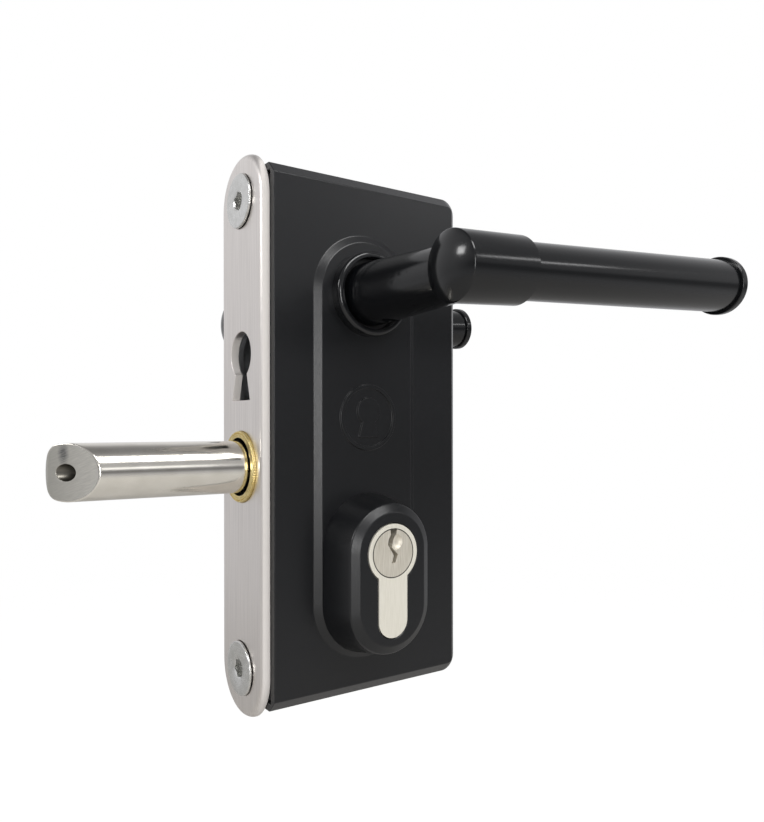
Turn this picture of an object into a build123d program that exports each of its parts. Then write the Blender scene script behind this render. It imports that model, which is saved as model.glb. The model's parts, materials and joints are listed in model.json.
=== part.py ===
from build123d import *
import math
import os

# Gate lock, in millimetres. +Z is up, the bolt points along -X, the front handle is on the -Y side.
# The origin is where the bolt's axis crosses the front of the faceplate.

# Faceplate
faceplate_width = 29.0
faceplate_height = 167.2
faceplate_mid_z = 9.2
faceplate_thick = 2.5
faceplate_round = 2.2
case_mid_z = 9.0
sight_hole_z = 30.0
sight_hole_height = 20.5

# Faceplate screws, M8 with a countersunk hex socket head
screw_top_z = 79.0
screw_bottom_z = -60.0
m8_radius = 4.0
m8_head_radius = 8.0
m8_head_proud = 1.0
m8_tip_x = 19.0
m8_socket_across = 5.0
m8_socket_deep = 3.0
fixing_block_end = 18.0
fixing_block_half_y = 9.0

# Covers
case_width = 68.5
case_height = 157.0
case_depth = 34.0
cover_wall = 2.5
cover_corner = 5.0
cover_chamfer = 3.5
cover_right = faceplate_thick + case_width
cover_top = case_mid_z + case_height / 2
cover_bottom = case_mid_z - case_height / 2
half_depth = case_depth / 2

# Raised pad on each cover
pad_x = 33.3
pad_width = 36.4
pad_top = 69.7
pad_bottom = -58.0
pad_proud = 1.5
pad_bevel = 2.2
pad_face = half_depth + pad_proud
emblem_z = 14.7
emblem_proud = 0.5
emblem_ring_radius = 10.0
emblem_ring_width = 1.2

# Steel lock case inside the covers
sheet = 1.5
inner_half_y = 10.5
steel_half_y = inner_half_y + sheet
steel_left = faceplate_thick
steel_right = cover_right - cover_wall - 0.2
steel_top = cover_top - cover_wall - 0.3
steel_bottom = cover_bottom + cover_wall + 0.3
post_places = [(13.0, 60.0), (13.0, 25.0), (24.5, -61.0), (60.0, -61.0)]
post_radius = 4.0
m4_radius = 2.0
m4_head_radius = 3.8

# Latch bolt
bolt_radius = 7.75
bolt_nose_x = -53.1
bolt_front_x = -42.6
bolt_nose_flat = 3.5
bolt_nose_round = 2.0
bolt_end_x = 19.5
bolt_groove_x = -2.0
bolt_groove_wide = 1.5
bolt_groove_radius = 7.3
bolt_throw = 17.0
bolt_access_radius = 2.25
adjuster_radius = 3.0
adjuster_start_x = -30.0
adjuster_end_x = 25.0
adjuster_socket_across = 4.0
bush_outer_radius = 10.6
bush_proud = 1.0
bush_edge = 0.25
bush_end_x = 12.0
bush_inner_radius = 10.2
bush_mouth_radius = 8.55
bush_mouth_x = 1.2

# Bolt carriage
carriage_half_y = 4.0
carriage_half_z = 5.0
bar_left = 42.8
bar_right = 49.2
hook_left = 28.2
hook_bottom = 75.0
hook_top = 80.5
shoulder_left = 22.0
shoulder_right = 25.0
shoulder_half_y = 9.6
guide_pin_places = [(46.0, 20.0), (46.0, 62.0)]
pin_radius = 2.5
running_gap = 0.05
fixed_gap = 0.02

# Bolt springs, one on each side of the carriage
spring_y = 7.1
spring_coil_radius = 2.2
spring_wire_radius = 0.4
spring_turns = 14

# Handles, hub and spindle
handle_x = 33.3
handle_z = 51.7
hub_radius = 8.5
hub_disc_radius = 9.0
hub_half_y = 12.4
arm_length = 26.0
arm_tip_radius = 3.0
arm_root_width = 10.0
arm_neck_width = 4.2
arm_rest_angle = 19.0
spindle_across = 8.0
spindle_half_y = 50.0
sleeve_y = 66.3
grip_rise = 3.5
sleeve_radius = 9.1
sleeve_start = -10.6
sleeve_end = 14.1
sleeve_round = 0.6
sleeve_dome_radius = 16.0
sleeve_bore_start = 2.0
grip_spigot_radius = 7.0
grip_start_radius = 7.65
grip_end_radius = 8.5
grip_end = 106.4
grip_bore_radius = 5.5
cap_radius = 9.45
cap_end = 109.6
cap_round = 1.0
cap_spigot_start = 94.0
neck_base_y = 20.0
neck_base_radius = 9.6
neck_tip_radius = 7.4
journal_radius = 7.5
journal_end_y = 12.9
grub_y = 30.0
grub_radius = 2.5

# Rose and neck bush
rose_radius = 12.7
rose_bore = 10.7
rose_height = 3.9
rose_round = 0.9
neck_bush_radius = 9.5
neck_bush_flange_radius = 10.5
neck_bush_flange = 1.2

# Euro profile cylinder
key_x = 33.3
key_z = -24.6
cylinder_half_y = 31.5
profile_radius = 8.5
leg_radius = 5.0
profile_height = 33.0
leg_z = key_z + profile_radius - profile_height + leg_radius
plug_radius = 7.0
plug_inner_y = 5.4
keyway_deep = 24.0
dish_radius = 3.0
dish_out = 2.0
dish_x = 1.0
dish_z = 3.2
cam_gap_half = 5.2
cam_half_y = 4.9
cam_ring_radius = 8.3
cam_radius = 15.5
cam_half_width = 4.0
cam_rest_angle = -19.0
cam_slot_bottom = -41.0
clutch_radius = 4.5
clutch_front_y = 8.0
m5_radius = 2.5
m5_head_radius = 4.4
m5_tip_x = 30.0

# Cylinder guard
guard_face = 31.5
guard_base_half_width = 16.0
guard_mid_z = -32.2
guard_base_height = 48.2
guard_taper = 11.0
guard_bevel_deep = 1.5
guard_bevel_taper = 60.0
profile_gap = 0.3

# Deadlock slide
slide_left = 50.2
slide_right = 57.2
slide_top = -15.0
slide_bottom = -38.0
slide_throw = 8.5
ledge_left = 44.5
ledge_bottom = -23.9
ledge_top = -18.0
slide_pin_places = [(53.7, -20.0), (53.7, -34.0)]


def block(x0, x1, y0, y1, z0, z1):
    """A box between two corners."""
    middle = ((x0 + x1) / 2, (y0 + y1) / 2, (z0 + z1) / 2)
    return Pos(*middle) * Box(x1 - x0, y1 - y0, z1 - z0)


def turned(profile):
    """A solid turned about the X axis from (distance along it, radius) points."""
    points = [(profile[0][0], 0), *profile, (profile[-1][0], 0)]
    return revolve(make_face(Polyline(*points, close=True)), Axis.X)


def closed_edges(shape):
    """The edges that are whole circles, from the lowest x to the highest."""
    return shape.edges().filter_by(lambda edge: edge.is_closed).sort_by(Axis.X)


def along_y(shape, x, z):
    """Turn a shape made along +X so that it lies along +Y."""
    return Pos(x, 0, z) * Rot(0, 0, 90) * shape


def rod_x(radius, x0, x1, y=0, z=0):
    return Pos(0, y, z) * turned([(x0, radius), (x1, radius)])


def rod_y(radius, y0, y1, x, z):
    return along_y(turned([(y0, radius), (y1, radius)]), x, z)


def mirrored(shape):
    """The rear copy of a front part."""
    return mirror(shape, Plane.XZ)


def front_plane(y):
    """A sketch plane seen from the front at depth y, with normal -Y."""
    return Plane.XZ.offset(-y)


def slot_face(width, bottom, top, x=0):
    """An upright outline with semicircular ends."""
    return Pos(x, (top + bottom) / 2) * SlotOverall(top - bottom, width, rotation=90)


def keyhole_face(size):
    """A plain keyhole outline, size mm tall, round its own middle."""
    head = Pos(0, size * 0.16) * Circle(size * 0.34)
    foot = Polygon(
        (size * 0.13, size * 0.1),
        (-size * 0.13, size * 0.1),
        (-size * 0.3, -size * 0.5),
        (size * 0.3, -size * 0.5),
        align=None,
    )
    return head + foot


def profile_face(gap=0.0):
    """The euro profile outline, grown by a gap."""
    head = Pos(key_x, key_z) * Circle(profile_radius + gap)
    leg = slot_face(2 * (leg_radius + gap), leg_z - leg_radius - gap, key_z + leg_radius, key_x)
    return head + leg


def profile_hole(gap, y0, y1):
    return extrude(front_plane(y1) * profile_face(gap), y1 - y0)


def make_faceplate():
    half = faceplate_height / 2
    flat = slot_face(faceplate_width, faceplate_mid_z - half, faceplate_mid_z + half)
    plate = extrude(Plane.YZ * flat, faceplate_thick)
    plate = fillet(plate.edges().group_by(Axis.X)[0], faceplate_round)
    plate -= rod_x(bush_outer_radius + running_gap, -1, faceplate_thick + 1)
    for z in (screw_top_z, screw_bottom_z):
        plate -= Pos(0, 0, z) * turned(countersink(0.1))
    return plate - keyhole_hole()


def keyhole_hole():
    """The sight hole below the upper screw, through the faceplate and the case behind it."""
    outline = Pos(0, sight_hole_z) * keyhole_face(sight_hole_height)
    return extrude(Plane.YZ * outline, steel_left + sheet)


def countersink(gap):
    """A 90 degree seat for the M8 head, open past both sides of the plate."""
    depth = m8_head_radius + gap
    hole = m8_radius + gap
    return [(-1, depth), (0, depth), (depth - hole, hole), (depth, hole)]


def make_faceplate_screws():
    root = m8_head_radius - m8_radius
    head = [(-m8_head_proud, m8_head_radius - 0.2), (0.2 - m8_head_proud, m8_head_radius)]
    shank = [(0, m8_head_radius), (root, m8_radius), (m8_tip_x - 1, m8_radius)]
    screw = turned([*head, *shank, (m8_tip_x, m8_radius - 1)])
    flats = RegularPolygon(m8_socket_across / 2, 6, major_radius=False)
    socket = extrude(Plane.YZ.offset(-m8_head_proud) * flats, m8_socket_deep)
    screw -= socket
    return Compound([Pos(0, 0, z) * screw for z in (screw_top_z, screw_bottom_z)])


def make_fixing_blocks():
    blocks = []
    for z, side in ((screw_top_z, 1), (screw_bottom_z, -1)):
        near = z - side * 7.5
        far = z + side * 4.0
        block_z = sorted((near, far))
        half_y = fixing_block_half_y
        body = block(steel_left + sheet, fixing_block_end, -half_y, half_y, *block_z)
        body -= rod_x(m8_radius + fixed_gap, 0, fixing_block_end + 1, z=z)
        blocks.append(body)
    return Compound(blocks)


def make_bolt_bush():
    bore = bolt_radius + running_gap
    outside = [
        (-bush_proud, bush_outer_radius - bush_edge),
        (bush_edge - bush_proud, bush_outer_radius),
        (faceplate_thick, bush_outer_radius),
        (faceplate_thick, bush_inner_radius),
        (bush_end_x, bush_inner_radius),
    ]
    mouth = [
        (-bush_proud, bush_mouth_radius),
        (bush_mouth_x, bush_mouth_radius),
        (bush_mouth_x, bore),
        (bush_end_x, bore),
    ]
    return turned(outside) - turned(mouth)


def cover_shell():
    shell = block(faceplate_thick, cover_right, -half_depth, 0, cover_bottom, cover_top)
    corners = shell.edges().filter_by(Axis.Y).group_by(Axis.X)[-1]
    shell = fillet(corners, cover_corner)
    rim = shell.edges().group_by(Axis.Y)[0]
    shell = chamfer([edge for edge in rim if edge.center().X > faceplate_thick + 1], cover_chamfer)
    pad = front_plane(-half_depth) * slot_face(pad_width, pad_bottom, pad_top, pad_x)
    shell += extrude(pad, pad_proud, taper=math.degrees(math.atan2(pad_bevel, pad_proud)))
    emblem = Circle(emblem_ring_radius) - Circle(emblem_ring_radius - emblem_ring_width)
    emblem += keyhole_face(12.0)
    shell += extrude(front_plane(-pad_face) * Pos(pad_x, emblem_z) * emblem, emblem_proud)
    shell -= block(
        faceplate_thick,
        cover_right - cover_wall,
        cover_wall - half_depth,
        0,
        cover_bottom + cover_wall,
        cover_top - cover_wall,
    )
    shell -= profile_hole(0.3, -pad_face, -inner_half_y)
    shell -= rod_y(neck_bush_radius + fixed_gap, -pad_face, -inner_half_y, handle_x, handle_z)
    shell -= rod_x(m5_head_radius + 0.2, steel_right, cover_right + 1, z=leg_z)
    for x, z in post_places:
        shell += rod_y(post_radius + 1, cover_wall / 2 - half_depth, -steel_half_y, x, z)
    return shell


def make_front_cover():
    cover = cover_shell()
    for x, z in post_places:
        cover -= rod_y(m4_radius + fixed_gap, 1 - half_depth, 0, x, z)
    return cover


def make_rear_cover():
    cover = mirrored(cover_shell())
    sink = m4_head_radius - m4_radius
    for x, z in post_places:
        hole = [
            (0, m4_radius + 0.2),
            (half_depth - sink, m4_radius + 0.2),
            (half_depth, m4_head_radius + 0.2),
            (half_depth + 1, m4_head_radius + 0.2),
        ]
        cover -= along_y(turned(hole), x, z)
    return cover


def make_cover_screws():
    sink = m4_head_radius - m4_radius
    profile = [(1.2 - half_depth, m4_radius), (half_depth - sink, m4_radius), (half_depth, m4_head_radius)]
    screw = turned(profile) - turned([(half_depth - 1.4, 1.3), (half_depth, 1.3)])
    return Compound([along_y(screw, x, z) for x, z in post_places])


def travel_slot(x, z, along_x, along_z, y0, y1):
    """A slot that lets a guide pin at (x, z) travel along X or up Z."""
    reach = max(along_x, along_z) + 2 * pin_radius + 0.6
    slot = SlotOverall(reach, 2 * (pin_radius + running_gap), rotation=90 if along_z else 0)
    centre = Pos(x + along_x / 2, z + along_z / 2)
    return extrude(front_plane(y1) * centre * slot, y1 - y0)


def plate_holes(y0, y1):
    """Everything that passes through one side plate of the steel case."""
    holes = profile_hole(0.3, y0, y1)
    holes += rod_y(hub_radius + running_gap, y0, y1, handle_x, handle_z)
    for x, z in guide_pin_places:
        holes += travel_slot(x, z, bolt_throw, 0, y0, y1)
    for x, z in slide_pin_places:
        holes += travel_slot(x, z, 0, slide_throw, y0, y1)
    for x, z in post_places:
        holes += rod_y(m4_radius + 0.3, y0, y1, x, z)
    return holes


def make_lock_case():
    case = block(steel_left, steel_right, -inner_half_y, steel_half_y, steel_bottom, steel_top)
    case -= block(
        steel_left + sheet,
        steel_right - sheet,
        -inner_half_y,
        inner_half_y,
        steel_bottom + sheet,
        steel_top - sheet,
    )
    case -= plate_holes(inner_half_y, steel_half_y)
    case -= rod_x(bush_inner_radius + fixed_gap, 0, steel_left + sheet)
    case -= rod_x(m5_radius + 0.2, steel_right - sheet, steel_right, z=leg_z)
    for z in (screw_top_z, screw_bottom_z):
        case -= Pos(0, 0, z) * turned(countersink(0.1))
    return case - keyhole_hole()


def make_case_lid():
    lid = block(steel_left, steel_right, -steel_half_y, -inner_half_y, steel_bottom, steel_top)
    return lid - plate_holes(-steel_half_y, -inner_half_y)


def make_case_posts():
    post = turned([(-inner_half_y, post_radius), (inner_half_y, post_radius)])
    post -= turned([(-inner_half_y, m4_radius + 0.3), (inner_half_y, m4_radius + 0.3)])
    return Compound([along_y(post, x, z) for x, z in post_places])


def make_bolt():
    bolt = turned([(bolt_nose_x, bolt_radius), (bolt_end_x, bolt_radius)])
    bolt = fillet(closed_edges(bolt)[0], bolt_nose_round)
    groove_end = bolt_groove_x + bolt_groove_wide
    bolt -= rod_x(bolt_radius + 1, bolt_groove_x, groove_end)
    bolt += rod_x(bolt_groove_radius, bolt_groove_x, groove_end)
    slope = [
        (bolt_nose_x, bolt_radius - bolt_nose_flat),
        (bolt_front_x, -bolt_radius),
        (bolt_nose_x - 1, -bolt_radius - 1),
        (bolt_nose_x - 1, bolt_radius - bolt_nose_flat),
    ]
    wedge = make_face(Polyline(*slope, close=True))
    bolt -= Pos(0, 0, -bolt_radius - 1) * extrude(wedge, 2 * bolt_radius + 2)
    bolt -= rod_x(bolt_access_radius, bolt_nose_x - 1, adjuster_start_x)
    return bolt - rod_x(adjuster_radius + fixed_gap, adjuster_start_x, bolt_end_x)


def make_bolt_adjuster():
    rod = rod_x(adjuster_radius, adjuster_start_x + 2, adjuster_end_x)
    flats = RegularPolygon(adjuster_socket_across / 2, 6, major_radius=False)
    return rod - extrude(Plane.YZ.offset(adjuster_start_x + 2) * flats, 4)


def make_carriage():
    y0, y1 = -carriage_half_y, carriage_half_y
    carriage = block(bolt_end_x, bar_right, y0, y1, -carriage_half_z, carriage_half_z)
    carriage += block(bar_left, bar_right, y0, y1, -carriage_half_z, hook_top)
    carriage += block(hook_left, bar_right, y0, y1, hook_bottom, hook_top)
    carriage += block(
        shoulder_left, shoulder_right, -shoulder_half_y, shoulder_half_y, -carriage_half_z, carriage_half_z
    )
    carriage -= rod_x(adjuster_radius + fixed_gap, bolt_end_x, adjuster_end_x + 1)
    for x, z in guide_pin_places:
        carriage -= rod_y(pin_radius + fixed_gap, y0, y1, x, z)
    return carriage


def guide_pins(places):
    reach = steel_half_y - 0.1
    return Compound([rod_y(pin_radius, -reach, reach, x, z) for x, z in places])


def make_bolt_springs():
    """Two compression springs from the carriage's shoulder to the case's end wall."""
    start = shoulder_right + spring_wire_radius + 0.1
    length = steel_right - sheet - shoulder_right - 2 * spring_wire_radius - 0.2
    pitch = length / spring_turns
    coil = Helix(pitch, length, spring_coil_radius)
    section = Plane(coil @ 0, z_dir=coil % 0) * Circle(spring_wire_radius)
    spring = Rot(0, 90, 0) * sweep(section, path=coil, is_frenet=True)
    print("spring's least gap between turns", round(pitch - 2 * spring_wire_radius, 2), "mm")
    return Compound([Pos(start, y, 0) * spring for y in (-spring_y, spring_y)])


def make_hub():
    hub = rod_y(hub_radius, -hub_half_y, hub_half_y, handle_x, handle_z)
    disc = inner_half_y - 0.3
    hub += rod_y(hub_disc_radius, -disc, disc, handle_x, handle_z)
    arm = Pos(0, arm_length) * Circle(arm_tip_radius)
    arm += Polygon(
        (-arm_root_width / 2, 0),
        (arm_root_width / 2, 0),
        (arm_neck_width / 2, arm_length),
        (-arm_neck_width / 2, arm_length),
        align=None,
    )
    leaning = Pos(handle_x, handle_z) * Rot(0, 0, arm_rest_angle) * arm
    hub += extrude(front_plane(carriage_half_y) * leaning, 2 * carriage_half_y)
    across = spindle_across / 2 + fixed_gap
    return hub - block(
        handle_x - across, handle_x + across, -hub_half_y, hub_half_y, handle_z - across, handle_z + across
    )


def make_spindle():
    across = spindle_across / 2
    return block(
        handle_x - across,
        handle_x + across,
        -spindle_half_y,
        spindle_half_y,
        handle_z - across,
        handle_z + across,
    )


def on_grip_line(shape):
    """Place a shape made along +X on the front grip's centre line."""
    return Pos(handle_x, -sleeve_y, handle_z) * Rot(0, -grip_rise, 0) * shape


def make_front_neck():
    sleeve = turned([(sleeve_start, sleeve_radius), (sleeve_end, sleeve_radius)])
    sleeve &= Pos(sleeve_start + sleeve_dome_radius, 0, 0) * Sphere(sleeve_dome_radius)
    sleeve = fillet(closed_edges(sleeve)[0], sleeve_round)
    cone = turned([(-sleeve_y, neck_tip_radius), (-neck_base_y, neck_base_radius)])
    neck = along_y(cone, handle_x, handle_z)
    neck += rod_y(journal_radius, -neck_base_y, -journal_end_y, handle_x, handle_z)
    neck += on_grip_line(sleeve)
    bore = grip_spigot_radius + fixed_gap
    neck -= on_grip_line(turned([(sleeve_bore_start, bore), (sleeve_end, bore)]))
    across = spindle_across / 2 + fixed_gap
    neck -= block(
        handle_x - across,
        handle_x + across,
        -spindle_half_y - 0.5,
        0,
        handle_z - across,
        handle_z + across,
    )
    return neck - grub_shape(grub_radius + fixed_gap, -neck_base_radius)


def grub_shape(radius, start):
    """A short upright rod under the spindle, from start up to the spindle's flat."""
    rod = turned([(start, radius), (-spindle_across / 2 - fixed_gap, radius)])
    return Pos(handle_x, -grub_y, handle_z) * Rot(0, -90, 0) * rod


def make_grub_screws():
    screw = grub_shape(grub_radius, -neck_tip_radius)
    screw -= grub_shape(1.2, -neck_tip_radius).intersect(
        block(0, case_width, -case_depth * 2, 0, handle_z - neck_tip_radius, handle_z - neck_tip_radius + 2)
    )
    return Compound([screw, mirrored(screw)])


def make_front_grip():
    grip = turned(
        [
            (sleeve_bore_start + 0.1, grip_spigot_radius),
            (sleeve_end, grip_spigot_radius),
            (sleeve_end, grip_start_radius),
            (grip_end, grip_end_radius),
        ]
    )
    bore = grip_bore_radius + fixed_gap
    grip -= turned([(cap_spigot_start - 1, bore), (grip_end, bore)])
    return on_grip_line(grip)


def make_front_end_cap():
    cap = turned([(grip_end, cap_radius), (cap_end, cap_radius)])
    cap = fillet(cap.edges().group_by(Axis.X)[-1], cap_round)
    cap += turned([(cap_spigot_start, grip_bore_radius), (grip_end, grip_bore_radius)])
    return on_grip_line(cap)


def make_front_rose():
    front = pad_face + rose_height
    rose = turned([(-front, rose_radius), (-pad_face, rose_radius)])
    rose = fillet(rose.edges().group_by(Axis.X)[0], rose_round)
    rose -= turned([(-front, rose_bore), (-pad_face, rose_bore)])
    return along_y(rose, handle_x, handle_z)


def make_front_neck_bush():
    flange_face = pad_face + neck_bush_flange
    bush = turned(
        [
            (-flange_face, neck_bush_flange_radius),
            (-pad_face, neck_bush_flange_radius),
            (-pad_face, neck_bush_radius),
            (-steel_half_y - 1, neck_bush_radius),
        ]
    )
    bore = journal_radius + running_gap
    bush -= turned([(-flange_face, bore), (-steel_half_y - 1, bore)])
    return along_y(bush, handle_x, handle_z)


def make_front_guard():
    height = guard_face - pad_face - guard_bevel_deep
    half = guard_base_half_width
    reach = guard_base_height / 2
    base = slot_face(2 * half, guard_mid_z - reach, guard_mid_z + reach, key_x)
    guard = extrude(front_plane(-pad_face) * base, height, taper=guard_taper)
    shrink = height * math.tan(math.radians(guard_taper))
    rim = slot_face(2 * (half - shrink), guard_mid_z - reach + shrink, guard_mid_z + reach - shrink, key_x)
    bevel_plane = front_plane(guard_bevel_deep - guard_face)
    guard += extrude(bevel_plane * rim, guard_bevel_deep, taper=guard_bevel_taper)
    return guard - profile_hole(profile_gap, -guard_face, -pad_face)


def make_cylinder_body():
    body = profile_hole(0, -cylinder_half_y, cylinder_half_y)
    body -= rod_y(plug_radius + running_gap, -cylinder_half_y, cylinder_half_y, key_x, key_z)
    body -= block(
        key_x - profile_radius,
        key_x + profile_radius,
        -cam_gap_half,
        cam_gap_half,
        cam_slot_bottom,
        key_z + profile_radius,
    )
    return body - rod_x(m5_radius + fixed_gap, 0, cover_right, z=leg_z)


def make_cylinder_screw():
    shank = [(m5_tip_x, m5_radius), (steel_right, m5_radius)]
    head = [(steel_right, m5_head_radius), (cover_right - 0.4, m5_head_radius)]
    screw = turned([*shank, *head])
    flats = RegularPolygon(2.0, 6, major_radius=False)
    screw -= extrude(Plane.YZ.offset(cover_right - 1.9) * flats, 1.5)
    return Pos(0, 0, leg_z) * screw


def keyway_face():
    """The crooked outline of the keyway, from past the plug's rim down below its middle."""
    left = [(-1.1, 7.5), (-0.8, 5.4), (-1.6, 4.1), (-1.9, 2.6), (-1.0, 1.2), (0.2, -0.7), (-0.5, -2.9)]
    right = [(0.7, -2.9), (1.6, -0.5), (1.1, 0.1), (-0.4, 1.6), (0.4, 2.6), (0.7, 4.1), (1.6, 7.5)]
    return make_face(Polyline(*left, *right, close=True))


def key_dish(side):
    """The shallow bowl beside the keyway that guides a key's tip in; side -1 is the front."""
    return Pos(key_x + dish_x, side * (cylinder_half_y + dish_out), key_z + dish_z) * Sphere(dish_radius)


def make_front_plug():
    plug = rod_y(plug_radius, -cylinder_half_y, -plug_inner_y, key_x, key_z)
    keyway = front_plane(-cylinder_half_y + keyway_deep) * Pos(key_x, key_z) * keyway_face()
    plug -= extrude(keyway, keyway_deep)
    plug -= key_dish(-1)
    return plug - rod_y(clutch_radius + fixed_gap, -clutch_front_y, 0, key_x, key_z)


def make_rear_plug():
    plug = rod_y(plug_radius, plug_inner_y, cylinder_half_y, key_x, key_z)
    keyway = front_plane(cylinder_half_y) * Pos(key_x, key_z) * keyway_face()
    return plug - extrude(keyway, keyway_deep) - key_dish(1)


def make_clutch():
    return rod_y(clutch_radius, 0.1 - clutch_front_y, cam_half_y, key_x, key_z)


def make_cam():
    tip = Pos(cam_radius / 2, 0) * Rectangle(cam_radius, 2 * cam_half_width)
    outline = Circle(cam_ring_radius) + (tip & Circle(cam_radius))
    placed = Pos(key_x, key_z) * Rot(0, 0, cam_rest_angle) * outline
    cam = extrude(front_plane(cam_half_y) * placed, 2 * cam_half_y)
    return cam - rod_y(clutch_radius + fixed_gap, -cam_half_y, cam_half_y, key_x, key_z)


def make_deadlock_slide():
    y0, y1 = -carriage_half_y, carriage_half_y
    slide = block(slide_left, slide_right, y0, y1, slide_bottom, slide_top)
    slide += block(ledge_left, slide_left, y0, y1, ledge_bottom, ledge_top)
    for x, z in slide_pin_places:
        slide -= rod_y(pin_radius + fixed_gap, y0, y1, x, z)
    return slide


front_parts = {
    "rose": make_front_rose(),
    "neck_bush": make_front_neck_bush(),
    "guard": make_front_guard(),
    "handle_neck": make_front_neck(),
    "handle_grip": make_front_grip(),
    "handle_end_cap": make_front_end_cap(),
}

parts = {
    "faceplate": make_faceplate(),
    "faceplate_screws": make_faceplate_screws(),
    "fixing_blocks": make_fixing_blocks(),
    "bolt_bush": make_bolt_bush(),
    "front_cover": make_front_cover(),
    "rear_cover": make_rear_cover(),
    "cover_screws": make_cover_screws(),
    "lock_case": make_lock_case(),
    "case_lid": make_case_lid(),
    "case_posts": make_case_posts(),
    "bolt": make_bolt(),
    "bolt_adjuster": make_bolt_adjuster(),
    "bolt_carriage": make_carriage(),
    "carriage_pins": guide_pins(guide_pin_places),
    "bolt_springs": make_bolt_springs(),
    "hub": make_hub(),
    "spindle": make_spindle(),
    "grub_screws": make_grub_screws(),
    "cylinder_body": make_cylinder_body(),
    "cylinder_screw": make_cylinder_screw(),
    "front_plug": make_front_plug(),
    "rear_plug": make_rear_plug(),
    "clutch": make_clutch(),
    "cylinder_cam": make_cam(),
    "deadlock_slide": make_deadlock_slide(),
    "slide_pins": guide_pins(slide_pin_places),
}

for name, shape in front_parts.items():
    parts["front_" + name] = shape
    parts["rear_" + name] = mirrored(shape)

os.makedirs("parts", exist_ok=True)
for name, shape in parts.items():
    export_step(shape, "parts/" + name + ".step")
    print(name, len(shape.solids()), "solids", round(shape.volume / 1000, 2), "cm3")
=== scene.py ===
# %% [markdown]
# # A gate lock with two lever handles
# The CAD model is the fixed frame: it says where every part is, in metres. This file gives the lock its
# looks. Parts whose CAD shape is already right keep it and only get a finish. Parts that the eye lingers on
# are made again as smooth surfaces with rounded edges, because a real edge is never perfectly sharp and
# its thin highlight is what makes metal look like metal.

import json
import math

import bmesh
import bpy
import numpy as np
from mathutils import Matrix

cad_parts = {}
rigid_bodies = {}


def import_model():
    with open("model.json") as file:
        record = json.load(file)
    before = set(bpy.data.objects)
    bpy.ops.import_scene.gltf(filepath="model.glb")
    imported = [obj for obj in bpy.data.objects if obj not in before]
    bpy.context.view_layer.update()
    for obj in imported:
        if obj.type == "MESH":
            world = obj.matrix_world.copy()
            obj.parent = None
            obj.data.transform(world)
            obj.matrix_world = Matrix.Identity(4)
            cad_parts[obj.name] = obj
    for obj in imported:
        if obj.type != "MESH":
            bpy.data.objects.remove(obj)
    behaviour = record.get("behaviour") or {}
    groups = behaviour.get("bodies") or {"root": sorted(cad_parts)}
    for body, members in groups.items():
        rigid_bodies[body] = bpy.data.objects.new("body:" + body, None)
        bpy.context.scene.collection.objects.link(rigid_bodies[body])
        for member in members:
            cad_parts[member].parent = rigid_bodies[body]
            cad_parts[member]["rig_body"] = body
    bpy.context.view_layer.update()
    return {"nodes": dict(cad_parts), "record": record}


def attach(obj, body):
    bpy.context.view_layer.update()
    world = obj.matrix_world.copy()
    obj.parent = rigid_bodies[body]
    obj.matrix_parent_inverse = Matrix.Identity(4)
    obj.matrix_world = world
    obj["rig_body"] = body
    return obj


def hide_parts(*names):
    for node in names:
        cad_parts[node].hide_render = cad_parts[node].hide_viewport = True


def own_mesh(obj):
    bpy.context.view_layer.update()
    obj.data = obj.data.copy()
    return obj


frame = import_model()
MM = 0.001

# %% [markdown]
# ## The camera
# The photograph looks at the lock from 34 degrees left of its front, almost level, from about 20 cm. Its
# place, turn and focal length come from matching the lock's corners, so they are numbers, not taste. The
# small shift moves the picture without turning the camera, which keeps upright edges upright.

# %% Set up the camera
lens = bpy.data.cameras.new("camera")
lens.sensor_width = 36.0
lens.lens = 32.72
lens.shift_x = 0.0082
lens.shift_y = 0.0206
lens.clip_start = 0.01
camera = bpy.data.objects.new("camera", lens)
camera.location = (-0.09256, -0.2065, 0.01223)
camera.rotation_euler = (math.radians(90 - 0.18), math.radians(0.05), math.radians(-34.34))
bpy.context.scene.collection.objects.link(camera)
bpy.context.scene.camera = camera
bpy.context.scene.view_settings.view_transform = "Standard"

# %% [markdown]
# ## One helper for colours and one for nodes
# A colour on a screen is stored bent, so that dark tones get more steps; a renderer needs it straight. And
# every material below is a small graph of nodes, so one short function adds a node with its settings
# and links in a single line.


# %% Colours and nodes
def colour(code):
    """sRGB hex to linear light: c / 12.92 below 0.04045, and ((c + 0.055) / 1.055) ** 2.4 above it."""
    bent = np.array([int(code[k : k + 2], 16) for k in (1, 3, 5)]) / 255
    straight = np.where(bent < 0.04045, bent / 12.92, ((bent + 0.055) / 1.055) ** 2.4)
    return (*straight.tolist(), 1.0)


def add(tree, kind, inputs=None, **settings):
    """Adds a node. Settings are its own options; inputs are values for its sockets, or outputs to link."""
    node = tree.nodes.new("ShaderNode" + kind)
    for key, value in settings.items():
        setattr(node, key, value)
    for key, value in (inputs or {}).items():
        if isinstance(value, bpy.types.NodeSocket):
            tree.links.new(value, node.inputs[key])
        else:
            node.inputs[key].default_value = value
    return node


def carry(tree, value, start, end, low=0.0, high=1.0):
    """Carries the range start to end onto the range low to high, and stops there at both ends."""
    return add(tree, "MapRange", {0: value, 1: start, 2: end, 3: low, 4: high}).outputs[0]


def sum_of(tree, operation, first, second=0.0):
    """One step of arithmetic, such as MULTIPLY; ABSOLUTE looks at the first value only."""
    return add(tree, "Math", {0: first, 1: second}, operation=operation).outputs[0]


def place(tree):
    """Where the shaded point is, in the object's own metres."""
    return add(tree, "TexCoord").outputs["Object"]


def distance(tree, where, weights):
    """The length of a place after its x, y and z are weighted; (0, 1, 1) is the distance from the X axis."""
    weighted = add(tree, "VectorMath", {0: where, 1: weights}, operation="MULTIPLY").outputs[0]
    return add(tree, "VectorMath", {0: weighted}, operation="LENGTH").outputs["Value"]


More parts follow.
